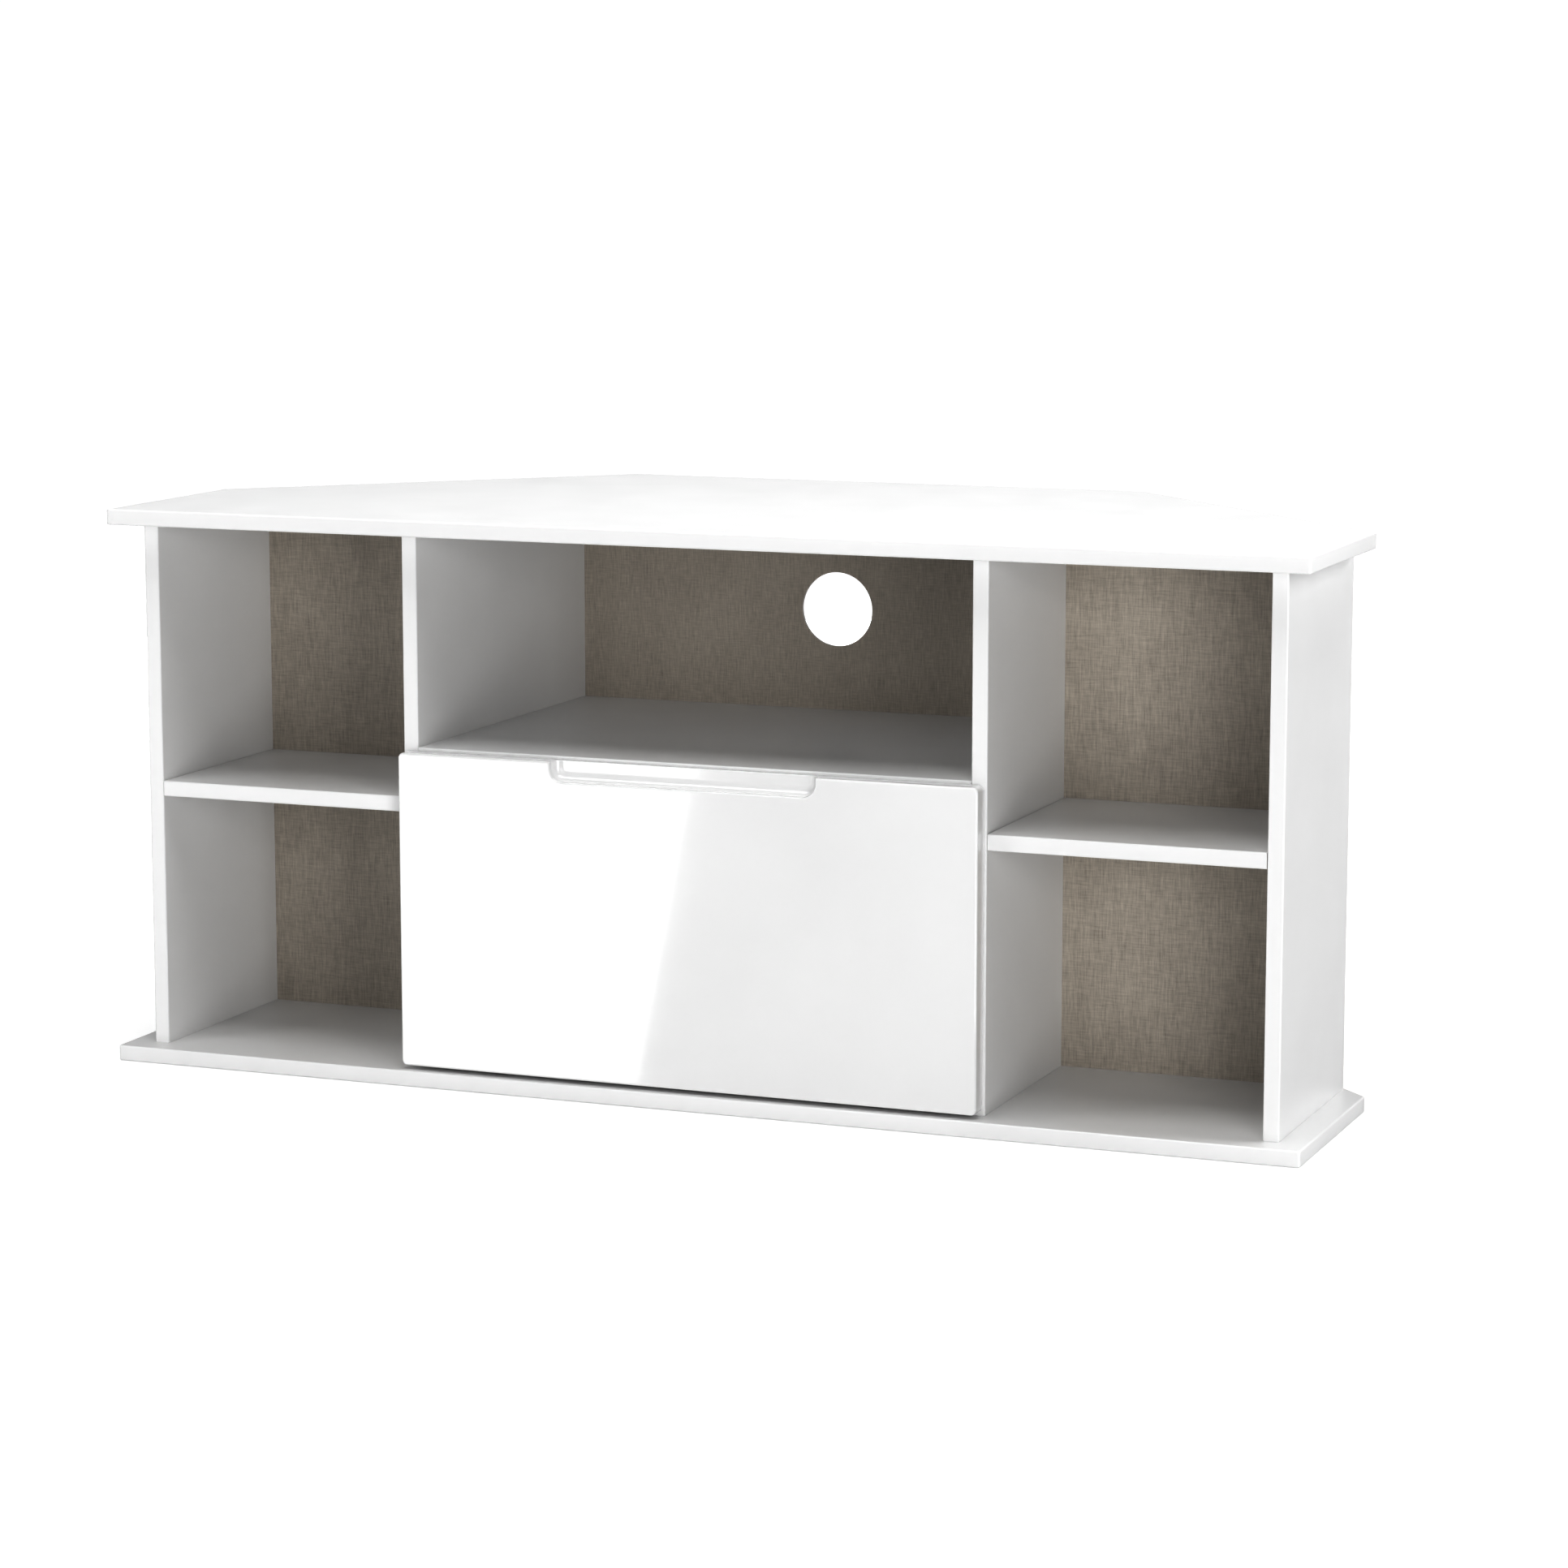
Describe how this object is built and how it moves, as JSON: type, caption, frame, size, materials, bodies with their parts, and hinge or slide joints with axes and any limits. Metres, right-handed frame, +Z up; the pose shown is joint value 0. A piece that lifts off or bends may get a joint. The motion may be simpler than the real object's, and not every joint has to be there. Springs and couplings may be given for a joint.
{
  "type": "corner media cabinet",
  "caption": "Corner media cabinet with a six-sided top and base, shelved side bays, an open middle bay with a cable hole, and a deep sliding drawer below it.",
  "frame": {"origin": "on the floor, at the middle of the cabinet's bounding box", "axes": "+X to the right-hand end seen from the front, -Y out of the front, +Z up"},
  "size_m": [1.18, 0.545, 0.537],
  "materials": {
    "white_board": "white melamine-faced chipboard, satin",
    "gloss_front": "high-gloss white foil on fibreboard",
    "cloth_print_board": "hardboard printed with a grey-beige woven cloth",
    "drawer_board": "white foil-wrapped board",
    "coated_steel": "white epoxy-coated pressed steel",
    "zinc_steel": "bright zinc-plated steel",
    "nylon": "natural white nylon",
    "beech": "plain beech dowel"
  },
  "bodies": {
    "cabinet": {"top_dowel_end_left_front": "beech", "base_screw_end_left_front": "zinc_steel", "top_dowel_end_left_rear": "beech", "base_screw_end_left_rear": "zinc_steel", "top_dowel_divider_left_front": "beech", "base_screw_divider_left_front": "zinc_steel", "top_dowel_divider_left_rear": "beech", "base_screw_divider_left_rear": "zinc_steel", "top_dowel_end_right_front": "beech", "base_screw_end_right_front": "zinc_steel", "top_dowel_end_right_rear": "beech", "base_screw_end_right_rear": "zinc_steel", "top_dowel_divider_right_front": "beech", "base_screw_divider_right_front": "zinc_steel", "top_dowel_divider_right_rear": "beech", "base_screw_divider_right_rear": "zinc_steel", "centre_shelf_dowel_left_front": "beech", "centre_shelf_dowel_left_rear": "beech", "centre_shelf_dowel_right_front": "beech", "centre_shelf_dowel_right_rear": "beech", "shelf_pin_left_inner_front": "zinc_steel", "shelf_pin_left_outer_front": "zinc_steel", "shelf_pin_left_inner_rear": "zinc_steel", "shelf_pin_left_outer_rear": "zinc_steel", "shelf_pin_right_inner_front": "zinc_steel", "shelf_pin_right_outer_front": "zinc_steel", "shelf_pin_right_inner_rear": "zinc_steel", "shelf_pin_right_outer_rear": "zinc_steel", "runner_screw_left_front": "zinc_steel", "runner_screw_left_rear": "zinc_steel", "runner_screw_right_front": "zinc_steel", "runner_screw_right_rear": "zinc_steel", "base_board": "white_board", "top_board": "white_board", "end_panel_left": "white_board", "divider_left": "white_board", "end_panel_right": "white_board", "divider_right": "white_board", "centre_shelf": "white_board", "back_panel_centre": "cloth_print_board", "side_shelf_left": "white_board", "back_panel_left": "cloth_print_board", "cabinet_runner_left": "coated_steel", "side_shelf_right": "white_board", "back_panel_right": "cloth_print_board", "cabinet_runner_right": "coated_steel"},
    "drawer": {"drawer_front": "gloss_front", "drawer_back": "drawer_board", "drawer_bottom": "drawer_board", "drawer_side_left": "drawer_board", "drawer_runner_left": "coated_steel", "drawer_side_right": "drawer_board", "drawer_runner_right": "coated_steel"},
    "cabinet_roller_left": {"cabinet_roller_left": "nylon"},
    "drawer_roller_left": {"drawer_roller_left": "nylon"},
    "cabinet_roller_right": {"cabinet_roller_right": "nylon"},
    "drawer_roller_right": {"drawer_roller_right": "nylon"}
  },
  "joints": [
    {"name": "drawer_slide", "type": "slide", "parent": "cabinet", "child": "drawer", "axis": [0, -1, 0], "range_m": [0, 0.27]},
    {"name": "cabinet_roller_left_turn", "type": "hinge", "parent": "cabinet", "child": "cabinet_roller_left", "pos_m": [-0.26925, -0.2345, 0.0375], "axis": [1, 0, 0], "range_deg": [0, 1720]},
    {"name": "cabinet_roller_right_turn", "type": "hinge", "parent": "cabinet", "child": "cabinet_roller_right", "pos_m": [0.26925, -0.2345, 0.0375], "axis": [1, 0, 0], "range_deg": [0, 1720]},
    {"name": "drawer_roller_left_turn", "type": "hinge", "parent": "drawer", "child": "drawer_roller_left", "pos_m": [-0.26825, 0.091, 0.0384], "axis": [1, 0, 0], "range_deg": [0, 1548]},
    {"name": "drawer_roller_right_turn", "type": "hinge", "parent": "drawer", "child": "drawer_roller_right", "pos_m": [0.26825, 0.091, 0.0384], "axis": [1, 0, 0], "range_deg": [0, 1548]}
  ],
  "couplings": [
    {"joint": "cabinet_roller_left_turn", "follows": "drawer_slide", "rad_per_m": 111.11},
    {"joint": "cabinet_roller_right_turn", "follows": "drawer_slide", "rad_per_m": 111.11},
    {"joint": "drawer_roller_left_turn", "follows": "drawer_slide", "rad_per_m": 100},
    {"joint": "drawer_roller_right_turn", "follows": "drawer_slide", "rad_per_m": 100}
  ]
}
